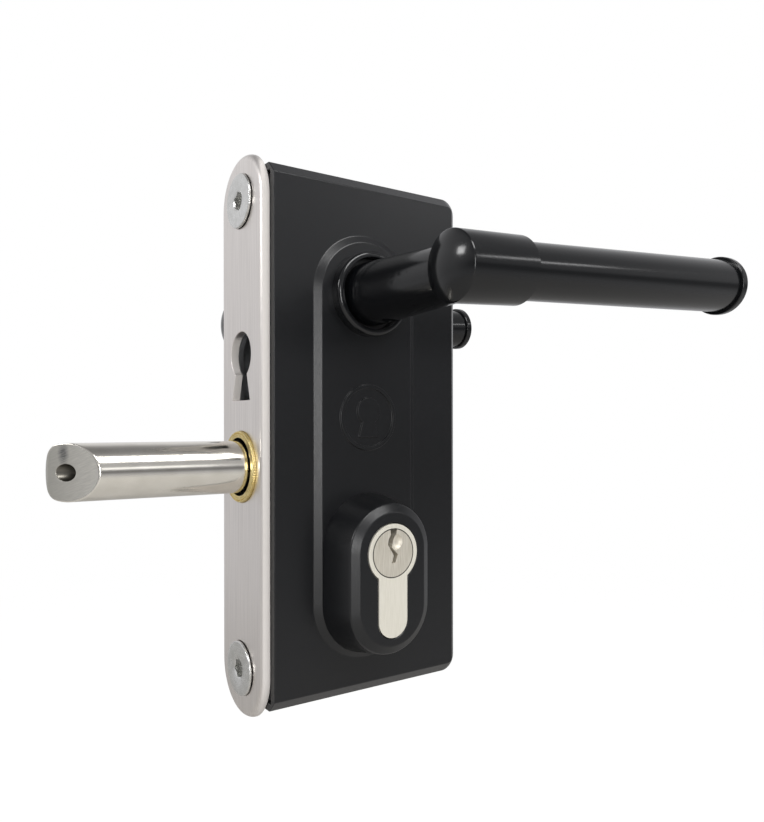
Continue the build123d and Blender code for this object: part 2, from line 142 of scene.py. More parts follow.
def blend(tree, value, first, second):
    """The first colour where the value is 0, the second where it is 1."""
    return add(tree, "Mix", {0: value, 6: first, 7: second}, data_type="RGBA").outputs[2]


# %% [markdown]
# ## The studio
# Polished metal has no colour of its own: it shows the room. So the room is worked out from the lock. The
# photograph's highlights, traced back from each surface, point to lamps, which come next, to a pale wall
# behind and to a darker camera side, with a dark line at eye level where the table ends. The world holds the
# walls as brightness by height, one ramp for the front and one for the back. Rays from the camera see pure
# white instead.


# %% The room
front_walls = [
    (-90, 0.55), (-60, 0.66), (-28, 0.68), (-12, 0.48), (-3, 0.18), (3, 0.18), (8, 0.45), (15, 0.46),
    (21, 0.44), (32, 0.38), (55, 0.36), (75, 0.22), (90, 0.2),
]
back_walls = [
    (-90, 0.55), (-50, 0.55), (-20, 0.66), (-3, 0.60), (8, 0.69), (25, 0.80), (45, 0.64), (58, 0.34),
    (72, 0.2), (90, 0.2),
]
wall_blue = 1.02
wall_overlap = 0.3


def by_height(tree, height, stops):
    """A ramp from straight down to straight up; stops are (degrees above the horizon, brightness)."""
    ramp = add(tree, "ValToRGB", {0: height})
    band = ramp.color_ramp
    while len(band.elements) < len(stops):
        band.elements.new(0.5)
    for element, (degrees, bright) in zip(band.elements, stops):
        element.position = (math.sin(math.radians(degrees)) + 1) / 2
        element.color = (bright, bright, bright * wall_blue, 1)
    return ramp.outputs[0]


def room():
    """World light: the front ramp where the direction's y is under -wall_overlap, the back ramp where it is
    over wall_overlap, and a mix of both between."""
    world = bpy.data.worlds.new("studio")
    bpy.context.scene.world = world
    world.use_nodes = True
    tree = world.node_tree
    tree.nodes.clear()
    looked = add(tree, "TexCoord").outputs["Generated"]
    parts = add(tree, "SeparateXYZ", {0: looked})
    height = carry(tree, parts.outputs["Z"], -1.0, 1.0)
    behind = carry(tree, parts.outputs["Y"], -wall_overlap, wall_overlap)
    front, back = by_height(tree, height, front_walls), by_height(tree, height, back_walls)
    walls = blend(tree, behind, front, back)
    light = add(tree, "Background", {"Color": walls, "Strength": 1.0})
    white = add(tree, "Background", {"Color": (1, 1, 1, 1), "Strength": 1.0})
    ray = add(tree, "LightPath")
    both = add(tree, "MixShader", {0: ray.outputs["Is Camera Ray"], 1: light.outputs[0], 2: white.outputs[0]})
    add(tree, "OutputWorld", {"Surface": both.outputs[0]})


room()

# %% [markdown]
# ## Five softboxes
# A softbox is a lit cloth in a frame, so it is an area lamp. It is placed by its direction, seen from the
# lock, and by how many degrees it spans, because that is what a highlight's place and size tell. Its
# brightness is compared with white paper, and brightness * area * pi gives Blender's watts. Each direction
# was found by following a highlight of the photograph back from the surface that shows it, and then adjusted.

# %% Softboxes
middle = np.array([0.03, -0.03, 0.02])


def softbox(name, azimuth, elevation, wide, tall, brightness, away=1.2):
    """A lamp turned towards the lock, away metres off. Azimuth is 0 in front and 90 on the right, and its
    sizes are degrees seen from the lock."""
    turn, lift = math.radians(azimuth), math.radians(elevation)
    towards = np.array([math.sin(turn) * math.cos(lift), -math.cos(turn) * math.cos(lift), math.sin(lift)])
    cloth = bpy.data.lights.new(name, "AREA")
    cloth.shape = "RECTANGLE"
    cloth.size, cloth.size_y = (2 * away * math.tan(math.radians(span / 2)) for span in (wide, tall))
    cloth.energy = brightness * cloth.size * cloth.size_y * math.pi
    lamp = bpy.data.objects.new(name, cloth)
    lamp.location = middle + towards * away
    lamp.rotation_euler = (math.pi / 2 - lift, 0, turn)
    lamp.visible_camera = False
    bpy.context.scene.collection.objects.link(lamp)
    print(name, round(cloth.size, 2), "x", round(cloth.size_y, 2), "m,", round(cloth.energy, 1), "W")


softbox("high_front_box", 6, 50, 42, 20, 7.5)
softbox("left_box", -96, 25, 13, 11, 12.0)
softbox("low_right_box", 44, 22, 16, 4, 4.0)
softbox("beside_camera_box", -33, 3, 16, 24, 8.0)
softbox("level_front_box", 15, 12, 12, 8, 0.9)

# %% [markdown]
# ## The floor
# White paper far below. Most of what the camera sees of it is its own light, so it is white without any more
# light on the lock, but it keeps a soft shadow. It thins out into the white world from half a metre on, so
# that no edge of it shows anywhere.


# %% Lay the floor
floor_height, floor_half = -0.32, 3.0
floor_glow, own_light = 1.18, 0.8
fade_start, fade_end = 0.5, 1.6


def white_floor(z, half):
    """A flat square, more and more see-through where its middle is fade_start to fade_end metres away."""
    mesh = bpy.data.meshes.new("floor")
    corners = [(-half, -half, z), (half, -half, z), (half, half, z), (-half, half, z)]
    mesh.from_pydata(corners, [], [(0, 1, 2, 3)])
    floor = bpy.data.objects.new("floor", mesh)
    bpy.context.scene.collection.objects.link(floor)
    paper = bpy.data.materials.new("white_paper")
    paper.use_nodes = True
    tree = paper.node_tree
    tree.nodes.clear()
    matt = add(tree, "BsdfDiffuse", {"Color": colour("#cbc9c5")})
    glow = add(tree, "Emission", {"Color": (1, 1, 1, 1), "Strength": floor_glow})
    own = sum_of(tree, "MULTIPLY", add(tree, "LightPath").outputs["Is Camera Ray"], own_light)
    paper_light = add(tree, "MixShader", {0: own, 1: matt.outputs[0], 2: glow.outputs[0]})
    away = distance(tree, place(tree), (1, 1, 0))
    fade = {0: away, 1: fade_start, 2: fade_end}
    thin = add(tree, "MapRange", fade, interpolation_type="SMOOTHSTEP").outputs[0]
    clear = add(tree, "BsdfTransparent")
    both = add(tree, "MixShader", {0: thin, 1: paper_light.outputs[0], 2: clear.outputs[0]})
    add(tree, "OutputMaterial", {"Surface": both.outputs[0]})
    mesh.materials.append(paper)


white_floor(floor_height, floor_half)

# %% [markdown]
# ## Finishes
# Each material starts from what the real surface is and how it was made. `finish` holds what they share, a
# Principled shader, and up to two patterns then make fine relief. The pattern sizes are real millimetres,
# turned into a noise scale of one over the size.


# %% A finish and its grain
def finish(name, base, metallic, roughness, **sockets):
    """A material with a Principled shader; returns its node tree and the shader."""
    material = bpy.data.materials.new(name)
    material.use_nodes = True
    tree = material.node_tree
    tree.nodes.clear()
    values = {"Base Color": colour(base), "Metallic": metallic, "Roughness": roughness}
    values.update({key.replace("_", " "): value for key, value in sockets.items()})
    shader = add(tree, "BsdfPrincipled", values)
    add(tree, "OutputMaterial", {"Surface": shader.outputs[0]})
    return material, tree, shader


def grain(tree, size, detail=2.0, rough=0.5, tilt=0):
    """Noise in Object coordinates, with grains of size = (x, y, z) millimetres, tilted about X by degrees."""
    where = place(tree)
    if tilt:
        inputs = {"Vector": where, "Angle": math.radians(tilt)}
        where = add(tree, "VectorRotate", inputs, rotation_type="X_AXIS").outputs[0]
    scale = tuple(1 / (v * MM) for v in size)
    spread = add(tree, "VectorMath", {0: where, 1: scale}, operation="MULTIPLY").outputs[0]
    inputs = {"Vector": spread, "Scale": 1.0, "Detail": detail, "Roughness": rough}
    return add(tree, "TexNoise", inputs).outputs[0]


def relief(tree, shader, height, deep, after=None):
    """Bumps the surface by height, deep millimetres from low to high, on top of an earlier relief."""
    inputs = {"Height": height, "Distance": deep * MM, "Strength": 1.0}
    if after is not None:
        inputs["Normal"] = after
    bump = add(tree, "Bump", inputs)
    tree.links.new(bump.outputs[0], shader.inputs["Normal"])
    return bump.outputs[0]


def between(tree, noise, low=0.0, high=1.0):
    """Carries noise, which seldom leaves 0.25 to 0.75, onto the range low to high."""
    return carry(tree, noise, 0.25, 0.75, low, high)


def tint(tree, shader, value, dark, light):
    """Colour that wanders between two near tones of the base colour."""
    tree.links.new(blend(tree, value, colour(dark), colour(light)), shader.inputs["Base Color"])


# %% [markdown]
# ## The materials
# Some parts wear more than one surface: a sheet has faces and cut sides, a bar has a turned side, a sawn end
# and a drilled hole. One material holds them all and tells them apart by where the point lies, for instance
# by its distance from the axis.

# %% One material for each surface
nose_edge, hole_shade_edge = (7.6 * MM, 7.3 * MM), (2.36 * MM, 2.28 * MM)
smear_at, smear_edge = (-49.8 * MM, 0.5 * MM, 5.0 * MM), (1.9 * MM, 0.5 * MM)
nose_tone_ends = (5.0 * MM, -6.0 * MM)
mouth_shade_edge = (8.72 * MM, 8.62 * MM)
to_key_axis = (-33.3 * MM, 0, 24.6 * MM)
plug_ring, plug_inside, dirt_edge = 7.03 * MM, 6.97 * MM, (0.2 * MM, 0.1 * MM)


def stainless_brushed():
    """304 sheet, ground along its length by a belt: fine lines up and down, under half a millimetre apart,
    and a soft wide gloss. Its narrow sides were cut by laser and then blasted, so they look even and dull."""
    material, tree, shader = finish("brushed_stainless", "#e6e1dd", 1.0, 0.34)
    lines = grain(tree, (0.5, 0.35, 26.0), 3.0)
    broad = grain(tree, (6.0, 5.0, 60.0), 1.0)
    normal = add(tree, "SeparateXYZ", {0: add(tree, "TexCoord").outputs["Normal"]}).outputs["Y"]
    on_side = carry(tree, sum_of(tree, "ABSOLUTE", normal), 0.45, 0.8)
    face = blend(tree, between(tree, lines), colour("#dad5d1"), colour("#f0ebe7"))
    tree.links.new(blend(tree, on_side, face, colour("#dcd8d4")), shader.inputs["Base Color"])
    tree.links.new(carry(tree, on_side, 0.0, 1.0, 1.0, 0.25), shader.inputs["Metallic"])
    gloss = sum_of(tree, "MAXIMUM", between(tree, broad, 0.30, 0.38), on_side)
    tree.links.new(gloss, shader.inputs["Roughness"])
    relief(tree, shader, lines, 0.004)
    return material


def stainless_turned():
    """303 bar, turned and polished: faint rings round it. Its sawn nose has slanting scratches and one dark
    smear, and the nose is darker towards its +y side than towards its -y side. Its drilled hole is dull, and
    painted dark grey as shade. The radius from the bolt's axis tells the three apart."""
    material, tree, shader = finish("turned_stainless", "#efebe2", 1.0, 0.16)
    where = place(tree)
    radius = distance(tree, where, (0, 1, 1))
    on_nose, hole_shade = carry(tree, radius, *nose_edge), carry(tree, radius, *hole_shade_edge)
    rings = grain(tree, (0.35, 12.0, 12.0), 2.0)
    cloud = grain(tree, (5.0, 3.0, 3.0), 2.0)
    scratches = grain(tree, (2.6, 2.6, 0.16), 3.0, tilt=24)
    from_smear = add(tree, "VectorMath", {0: where, 1: smear_at}, operation="SUBTRACT").outputs[0]
    near = carry(tree, distance(tree, from_smear, (1, 1, 0.5)), *smear_edge)
    smeared = sum_of(tree, "MULTIPLY", near, between(tree, scratches, 0.2, 1.0))
    plain = blend(tree, between(tree, cloud), colour("#e8e4db"), colour("#f4f0e8"))
    aside = add(tree, "SeparateXYZ", {0: where}).outputs["Y"]
    # The nose's colour goes from darker at y = +5 mm to lighter at y = -6 mm.
    across_nose = carry(tree, aside, *nose_tone_ends)
    nose_tone = blend(tree, across_nose, colour("#c0beb6"), colour("#ece9e1"))
    sawn = blend(tree, between(tree, scratches, 0.0, 0.45), nose_tone, colour("#a9a7a0"))
    sawn = blend(tree, smeared, sawn, colour("#4a4c52"))
    outside = blend(tree, on_nose, plain, sawn)
    # Painted shade: inside hole_shade_edge the drilled hole is coloured dark grey, standing in for the shade
    # in the bore.
    tree.links.new(blend(tree, hole_shade, outside, colour("#77746d")), shader.inputs["Base Color"])
    tree.links.new(carry(tree, on_nose, 0.0, 1.0, 0.15, 0.36), shader.inputs["Roughness"])
    first = relief(tree, shader, rings, 0.002)
    level = sum_of(tree, "SUBTRACT", scratches, 0.5)
    relief(tree, shader, sum_of(tree, "MULTIPLY", level, on_nose), 0.004, first)
    return material


def bright_zinc():
    """Zinc on a cold-formed screw: pale, slightly blue, with the small dents of tumbling in the bath."""
    material, tree, shader = finish("bright_zinc", "#dadad8", 1.0, 0.24)
    dents = grain(tree, (1.6, 1.6, 1.6), 2.0)
    tint(tree, shader, between(tree, dents), "#cfcfcc", "#e2e2e0")
    tree.links.new(between(tree, dents, 0.2, 0.3), shader.inputs["Roughness"])
    relief(tree, shader, dents, 0.006)
    return material


def zinc_sheet():
    """Zinc-plated sheet and bar inside the lock: greyer and duller than the screws, with a faint spangle."""
    material, tree, shader = finish("zinc_sheet", "#b3b5b8", 1.0, 0.38)
    cloud = grain(tree, (4.0, 4.0, 4.0), 3.0)
    tint(tree, shader, between(tree, cloud), "#a8aaad", "#bcbec0")
    tree.links.new(between(tree, cloud, 0.33, 0.45), shader.inputs["Roughness"])
    relief(tree, shader, grain(tree, (0.6, 0.6, 0.6)), 0.006)
    return material


def ground_steel():
    """Drawn and ground square bar: grey, with short lines along it."""
    material, tree, shader = finish("ground_bar", "#a9a9ab", 1.0, 0.32)
    lines = grain(tree, (0.4, 8.0, 0.4), 2.0)
    tree.links.new(between(tree, lines, 0.26, 0.4), shader.inputs["Roughness"])
    relief(tree, shader, lines, 0.004)
    return material


def spring_steel():
    """Cold-drawn spring wire: dark grey with a thin film of oil."""
    material, tree, shader = finish("spring_wire", "#6f7073", 1.0, 0.3)
    relief(tree, shader, grain(tree, (0.5, 0.5, 0.5)), 0.003)
    return material


def machined_brass():
    """Brass turned on a lathe: warm yellow, a satin gloss and fine rings. Its mouth is painted near black:
    painted shade in the gap round the bolt.
    """
    material, tree, shader = finish("machined_brass", "#e0cb8c", 1.0, 0.25)
    cloud = grain(tree, (1.5, 1.5, 1.5), 3.0)
    mouth_shade = carry(tree, distance(tree, place(tree), (0, 1, 1)), *mouth_shade_edge)
    clean = blend(tree, between(tree, cloud), colour("#d8c07c"), colour("#e6d49a"))
    # Painted shade: inside mouth_shade_edge the brass is coloured near black, standing in for the shade in
    # the mouth round the bolt.
    tree.links.new(blend(tree, mouth_shade, clean, colour("#16120a")), shader.inputs["Base Color"])
    tree.links.new(between(tree, cloud, 0.2, 0.3), shader.inputs["Roughness"])
    relief(tree, shader, grain(tree, (0.3, 0.5, 0.5)), 0.0015)
    return material


def black_powder_coat():
    """Polyester powder, baked on: satin black with the pebbled skin called orange peel, 0.8 mm across."""
    material, tree, shader = finish("powder_coat", "#0e0f11", 0.0, 0.32)
    peel = grain(tree, (0.8, 0.8, 0.8), 2.0, 0.4)
    fine = grain(tree, (0.28, 0.28, 0.28), 1.0)
    tint(tree, shader, between(tree, fine), "#0c0d0f", "#111215")
    tree.links.new(between(tree, peel, 0.28, 0.36), shader.inputs["Roughness"])
    first = relief(tree, shader, peel, 0.006)
    relief(tree, shader, fine, 0.002, first)
    return material


def black_satin_coat():
    """The handles' coat: the same black sprayed thinner over polished bar, so smoother and glossier."""
    material, tree, shader = finish("satin_lacquer", "#0c0d0f", 0.0, 0.15)
    peel = grain(tree, (0.9, 0.9, 0.9), 2.0, 0.4)
    fine = grain(tree, (0.3, 0.3, 0.3), 1.0)
    tree.links.new(between(tree, peel, 0.13, 0.18), shader.inputs["Roughness"])
    first = relief(tree, shader, peel, 0.002)
    relief(tree, shader, fine, 0.0025, first)
    return material


def black_nylon():
    """Moulded nylon bearing: dull black with a fine spark-eroded skin."""
    material, tree, shader = finish("moulded_nylon", "#131314", 0.0, 0.5)
    skin = grain(tree, (0.3, 0.3, 0.3), 1.0)
    relief(tree, shader, skin, 0.006)
    return material


def satin_nickel():
    """Brass plated with nickel and brushed, with short lines up and down its face. The cast body is blasted,
    so it scatters light and looks paler than the plug, and dirt fills the thin gap round the plug."""
    material, tree, shader = finish("nickel_plate", "#f3f0e8", 1.0, 0.5)
    from_key = add(tree, "VectorMath", {0: place(tree), 1: to_key_axis}).outputs[0]
    radius = distance(tree, from_key, (1, 0, 1))
    on_plug = carry(tree, radius, plug_ring, plug_inside)
    off_ring = sum_of(tree, "ABSOLUTE", sum_of(tree, "SUBTRACT", radius, plug_ring))
    in_gap = carry(tree, off_ring, *dirt_edge)
    lines = grain(tree, (0.3, 4.0, 5.0), 2.0)
    body = blend(tree, between(tree, lines), colour("#dcd8ca"), colour("#e8e4d8"))
    plug = blend(tree, between(tree, lines), colour("#cfc8b8"), colour("#ebe6da"))
    both = blend(tree, on_plug, body, plug)
    tree.links.new(blend(tree, in_gap, both, colour("#1c1a17")), shader.inputs["Base Color"])
    tree.links.new(carry(tree, on_plug, 0.0, 1.0, 0.2, 0.65), shader.inputs["Metallic"])
    tree.links.new(between(tree, lines, 0.46, 0.54), shader.inputs["Roughness"])
    relief(tree, shader, lines, 0.004)
    return material


finishes = {
    "stainless_brushed": stainless_brushed(),
    "stainless_turned": stainless_turned(),
    "zinc_plated_screws": bright_zinc(),
    "zinc_plated_steel": zinc_sheet(),
    "ground_steel": ground_steel(),
    "spring_steel": spring_steel(),
    "brass": machined_brass(),
    "black_powder_coat": black_powder_coat(),
    "black_satin_coat": black_satin_coat(),
    "black_nylon": black_nylon(),
    "satin_nickel": satin_nickel(),
}
print(len(finishes), "finishes")

# %% [markdown]
# ## Finishes for the CAD parts
# The record says which finish each CAD part has. The parts inside the case need nothing more, because they
# are seen only through gaps. The parts outside are made again below, and a new piece takes over the body,
# the finish and the place of the part that it stands for.

# %% Hand the finishes out
slot_of = {part["node"]: part["material_slot"] for part in frame["record"]["subparts"]}
for name, node in frame["nodes"].items():
    for place in node.material_slots:
        place.material = finishes[slot_of[name]]
print(len(slot_of), "CAD parts have a finish")


def stands_for(piece, name):
    """The piece moves with the CAD part's body, hides that part and wears its finish."""
    piece.data.materials.clear()
    piece.data.materials.append(finishes[slot_of[name]])
    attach(piece, frame["nodes"][name]["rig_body"])
    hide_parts(name)
    return piece


# %% [markdown]
# ## Softened edges on the pressed and sawn parts
# The covers, the faceplate, the handle necks and the cylinder have the right shape in CAD, but their edges
# are mathematically sharp. A powder coat flows over an edge and leaves it round, and a deburring wheel does
# the same to steel. A copy of the CAD part is merged into flat faces again, and a Bevel modifier then
# rounds every edge that turns by more than sharp_turn, which leaves the facets of its curves alone.


# %% A softened copy
sharp_turn = math.radians(22)
same_spot, same_plane = 0.002 * MM, math.radians(0.3)
edge_widths = {
    "front_cover": 0.25, "rear_cover": 0.25, "front_handle_neck": 0.35, "rear_handle_neck": 0.35,
    "faceplate": 0.2, "cylinder_body": 0.15, "front_plug": 0.15, "rear_plug": 0.15,
}


def softened(name, width, steps=3):
    """A copy of a CAD part whose edges are rounded over width millimetres."""
    shape = bmesh.new()
    shape.from_mesh(frame["nodes"][name].data)
    bmesh.ops.remove_doubles(shape, verts=shape.verts, dist=same_spot)
    bmesh.ops.dissolve_limit(shape, angle_limit=same_plane, verts=shape.verts, edges=shape.edges)
    mesh = bpy.data.meshes.new(name + "_soft")
    shape.to_mesh(mesh)
    shape.free()
    for layer in ("custom_normal", "sharp_edge", "sharp_face"):
        if layer in mesh.attributes:
            mesh.attributes.remove(mesh.attributes[layer])
    mesh.shade_smooth()
    piece = bpy.data.objects.new(name + "_soft", mesh)
    bpy.context.scene.collection.objects.link(piece)
    edges = piece.modifiers.new("edges", "BEVEL")
    edges.width = width * MM
    edges.segments = steps
    edges.limit_method = "ANGLE"
    edges.angle_limit = sharp_turn
    edges.harden_normals = True
    print(name, "softened:", len(mesh.polygons), "flat faces")
    return stands_for(piece, name)


# %% Soften them
for name, width in edge_widths.items():
    softened(name, width)

# %% [markdown]
# ## Surfaces on a grid
# Everything turned on a lathe is a surface of two parameters: how far along the axis, and which way round
# it. The same grid serves a hexagon socket or an oblong guard, when the outline changes from ring to ring.
# So three small functions are enough: one rounds a profile's corners, one carries outlines along a line,
# and one turns grids into a closed mesh.


# %% Rounded corners
hold_width = 0.12


def rounded(corners, steps=6):
    """A profile whose corner P, with radius r, becomes an arc from A to B, which lie r * tan(turn / 2) before
    and after P: ((1-t)^2 A + 2 w t (1-t) P + t^2 B) / ((1-t)^2 + 2 w t (1-t) + t^2), with w = cos(turn / 2).
    A point a little outside A and B, hold_width at most, keeps the flats flat when the shading is smooth."""
    path = np.array(corners, float)
    spot, radius = path[1:-1, :2], path[1:-1, 2]
    back, ahead = path[:-2, :2] - spot, path[2:, :2] - spot
    free = np.minimum(np.hypot(*back.T), np.hypot(*ahead.T))
    back /= np.hypot(*back.T)[:, None]
    ahead /= np.hypot(*ahead.T)[:, None]
    half = np.arccos(np.clip(-(back * ahead).sum(1), -1, 1)) / 2
    cut = radius * np.tan(half)
    hold = cut + np.minimum(hold_width, (free - cut) / 4)
    start, end = spot + back * cut[:, None], spot + ahead * cut[:, None]
    weight = np.cos(half)[:, None, None]
    t = np.linspace(0, 1, steps)[None, :, None]
    parts = [(1 - t) ** 2, 2 * weight * t * (1 - t), t**2]
    arc = (parts[0] * start[:, None] + parts[1] * spot[:, None] + parts[2] * end[:, None]) / sum(parts)
    before, after = (spot + back * hold[:, None])[:, None], (spot + ahead * hold[:, None])[:, None]
    middle = np.concatenate([before, arc, after], 1).reshape(-1, 2)
    return np.vstack([path[:1, :2], middle, path[-1:, :2]])


# %% Outlines carried along a line
out_of_plate = (-1, 0, 0), (0, -1, 0)
to_the_front = (0, -1, 0), (1, 0, 0)


def carried(outlines, depths, origin, along, side):
    """Point = origin + along * depth + side * x + (along x side) * y, for (x, y) outlines and depths."""
    along, side = np.array(along, float), np.array(side, float)
    x, y = outlines[..., :1], outlines[..., 1:]
    depth = np.broadcast_to(depths, outlines.shape[:-1])[..., None]
    return np.array(origin, float) + along * depth + side * x + np.cross(along, side) * y


def all_round(around):
    """Angles evenly round a circle."""
    return np.linspace(0, 2 * np.pi, around, endpoint=False)


def circle(around):
    """Points evenly round a circle of radius 1: (cos a, sin a)."""
    angle = all_round(around)
    return np.stack([np.cos(angle), np.sin(angle)], -1)


def turned(profile, origin, along, side, around=128):
    """A lathe's surface: the unit circle times the profile's radius, at the profile's way along the axis."""
    return carried(circle(around) * profile[:, 1, None, None], profile[:, :1], origin, along, side)


# %% Grids into one closed mesh
def solid(name, grids, part, mirrored=False, sharp=38):
    """Joins grids whose rows close on themselves: cell (i, j) has the corners (i, j), (i, j+1), (i+1, j+1)
    and (i+1, j). Corners that meet are merged, faces are turned outwards, and only edges over the sharp angle
    look sharp."""
    points, cells, used = [], [], 0
    for grid in grids:
        rings, around = grid.shape[:2]
        row = np.arange(rings - 1)[:, None] * around + used
        here = np.arange(around)[None]
        ahead = (here + 1) % around
        corners = [row + here, row + ahead, row + around + ahead, row + around + here]
        cells.append(np.stack(corners, -1).reshape(-1, 4))
        points.append(grid.reshape(-1, 3) * MM * (1, -1 if mirrored else 1, 1))
        used += rings * around
    mesh = bpy.data.meshes.new(name)
    mesh.from_pydata(np.concatenate(points).tolist(), [], np.concatenate(cells).tolist())
    shape = bmesh.new()
    shape.from_mesh(mesh)
    bmesh.ops.remove_doubles(shape, verts=shape.verts, dist=0.001 * MM)
    bmesh.ops.recalc_face_normals(shape, faces=shape.faces)
    open_edges = sum(len(edge.link_faces) != 2 for edge in shape.edges)
    shape.to_mesh(mesh)
    shape.free()
    mesh.shade_smooth()
    mesh.set_sharp_from_angle(angle=math.radians(sharp))
    piece = bpy.data.objects.new(name, mesh)
    bpy.context.scene.collection.objects.link(piece)
    print(name, len(mesh.polygons), "faces,", open_edges, "open edges")
    return stands_for(piece, part)


# %% [markdown]
# ## The bolt
# A stainless bar, turned to 15.5 mm and sawn off at a slant, so that the closing gate pushes it in. The
# slant leaves a flat tip on the far side. A hole down its middle reaches the adjuster's socket. The nose
# is one grid from the hole's wall, over the face, round the rim and down the side: every ring keeps its
# radius, and only its depth follows the slant.

# %% Make the bolt
bolt_radius, bolt_tip, tip_edge, slant = 7.75, 53.1, -4.25, 10.5 / 12
rim, tip_round, tip_blend = 0.35, 2.0, 0.15
hole_radius, bore_radius, bore_end, bolt_back, side_start = 2.25, 3.02, 30.0, -19.5, 41.6
face_steps, rim_steps = 40, 9


def nose_depth(x, radius, rim_drop):
    """The tip's depth less the larger of two drops: the slant's s = slant * (x - tip_edge) + rim_drop, and
    the round's t = R - sqrt(R^2 - (radius - bolt_radius + R)^2), with R = tip_round. The larger of the two is
    (s + t + sqrt((s - t)^2 + b^2)) / 2, where b = tip_blend softens the edge between them."""
    slope = (x - tip_edge) * slant + rim_drop
    past = np.clip(radius - bolt_radius + tip_round, 0, tip_round)
    turn = tip_round - np.sqrt(tip_round**2 - past**2)
    return bolt_tip - (slope + turn + np.sqrt((slope - turn) ** 2 + tip_blend**2)) / 2


def make_bolt(around=128):
    """Rings of (radius, depth): bore, hole, face, rim and side. Only the hole's edge, the face and the rim
    follow the slant, and the hole's edge sinks into it."""
    turn = np.linspace(0, np.pi / 2, rim_steps)
    inner = bolt_radius - rim
    flat = np.linspace(2.6, inner - 0.1, face_steps)
    face = np.concatenate([[hole_radius, 2.27, 2.36], flat, [inner - 0.04]])
    radius = np.concatenate([face, inner + rim * np.sin(turn), [bolt_radius]])
    rim_drop = np.concatenate([np.zeros(len(face)), rim * (1 - np.cos(turn)), [rim]])
    sunk = np.concatenate([[0.4, 0.12, 0.02], np.zeros(len(radius) - 4), [0.15]])
    across = radius[:, None] * circle(around)[None, :, 0]
    slanted = nose_depth(across, radius[:, None], rim_drop[:, None]) - sunk[:, None]
    bore = np.array([(bore_radius, bolt_back), (bore_radius, bore_end), (hole_radius, bore_end)])
    side = np.array([(bolt_radius, side_start), (bolt_radius, bolt_back), (bore_radius, bolt_back)])
    radii = np.concatenate([bore[:, 0], radius, side[:, 0]])
    depths = np.concatenate([np.repeat(bore[:, 1:], around, 1), slanted, np.repeat(side[:, 1:], around, 1)])
    return carried(circle(around) * radii[:, None, None], depths, (0, 0, 0), *out_of_plate)


solid("bolt_bar", [make_bolt()], "bolt", sharp=30)

# %% [markdown]
# ## The brass bush
# The bush guides the bolt through the faceplate. It is turned from brass, its face shows the fine lines of
# the facing cut, and its rim is serrated so that it can be driven round with a wrench. The serration is
# the lathe surface again, with a radius that waves as the angle goes round.

# %% Make the bush
bush_profile = rounded(
    [
        (-12.0, 7.8, 0), (-1.2, 7.8, 0), (-1.2, 8.6, 0), (1.0, 8.6, 0.25), (1.0, 9.2, 0), (0.9, 9.27, 0),
        (1.0, 9.34, 0), (1.0, 9.8, 0), (0.78, 9.95, 0), (1.0, 10.1, 0), (1.0, 10.6, 0.25), (-2.5, 10.6, 0),
        (-2.5, 10.2, 0), (-12.0, 10.2, 0), (-12.0, 7.8, 0),
    ],
    4,
)


def make_bush(around=720, teeth=90, deep=0.1, rim_start=10.3, rim_wide=0.3):
    """The profile turned round the bolt's axis. From rim_start outwards the radius loses more and more of
    deep * (1 + cos(teeth * angle)) / 2, and all of it on the rim."""
    wave = deep * (1 + np.cos(teeth * all_round(around))) / 2
    on_rim = np.clip((bush_profile[:, 1] - rim_start) / rim_wide, 0, 1)[:, None]
    radius = bush_profile[:, 1:] - on_rim * wave[None]
    return carried(circle(around) * radius[..., None], bush_profile[:, :1], (0, 0, 0), *out_of_plate)


solid("turned_bush", [make_bush()], "bolt_bush", sharp=50)

# %% [markdown]
# ## The faceplate screws
# Two M8 countersunk screws with a hexagon socket. The thin rim of the head stands 1 mm proud, and its cone
# starts right behind the rim, which leaves the black crescent that makes a screw head look set in. The
# socket's outline is a hexagon, r = apothem / cos(angle to the nearest flat), and from there outwards the
# rings are circles. A cone at the socket's mouth cuts the six walls, so it reaches deeper at the flats.

# %% Make the screws
screw_heights, screw_twists = (79.0, -60.0), (8, 41)
socket_apothem, socket_mouth, socket_floor = 2.5, 3.1, -2.0
head_proud, mouth_slope = 1.0, 0.6
head_profile = rounded(
    [
        (head_proud, socket_mouth, 0), (head_proud, 7.95, 0.3), (0.4, 8.0, 0.08), (-0.6, 7.0, 0),
        (-3.6, 4.0, 0), (-18.0, 4.0, 0), (-19.0, 3.0, 0), (-19.0, 0.0, 0),
    ],
    6,
)


def make_screw(height, twist, around=144):
    """Rings of (radius, depth) from the drilled floor up the hexagon, over the head and down the shank."""
    flat = (all_round(around) - math.radians(twist) + np.pi / 6) % (np.pi / 3) - np.pi / 6
    hexagon = socket_apothem / np.cos(flat)
    mouth = head_proud - mouth_slope * (socket_mouth - hexagon)
    one = np.ones(around)
    radii = [0 * one, 2.1 * one, hexagon - 0.02, hexagon, hexagon, 3.02 * one]
    floor = [socket_floor - 0.7, socket_floor, socket_floor, socket_floor + 0.05]
    depths = [*(depth * one for depth in floor), mouth, 0.97 * one]
    radii = np.concatenate([radii, head_profile[:, 1:] * one])
    depths = np.concatenate([depths, head_profile[:, :1] * one])
    return carried(circle(around) * radii[..., None], depths, (0, 0, height), *out_of_plate)


screws = [make_screw(height, twist) for height, twist in zip(screw_heights, screw_twists)]
solid("socket_screws", screws, "faceplate_screws", sharp=33)

# %% [markdown]
# ## The rose, the grip and its end cap
# The rose is the ring round the neck. It is turned with a full round on its outer rim, and that round is what
# draws the bright crescent. The grip widens a little towards its end, where a cap with rounded edges
# closes it, and it rises by 3.5 degrees. Front and rear are the same piece, mirrored in the middle plane.

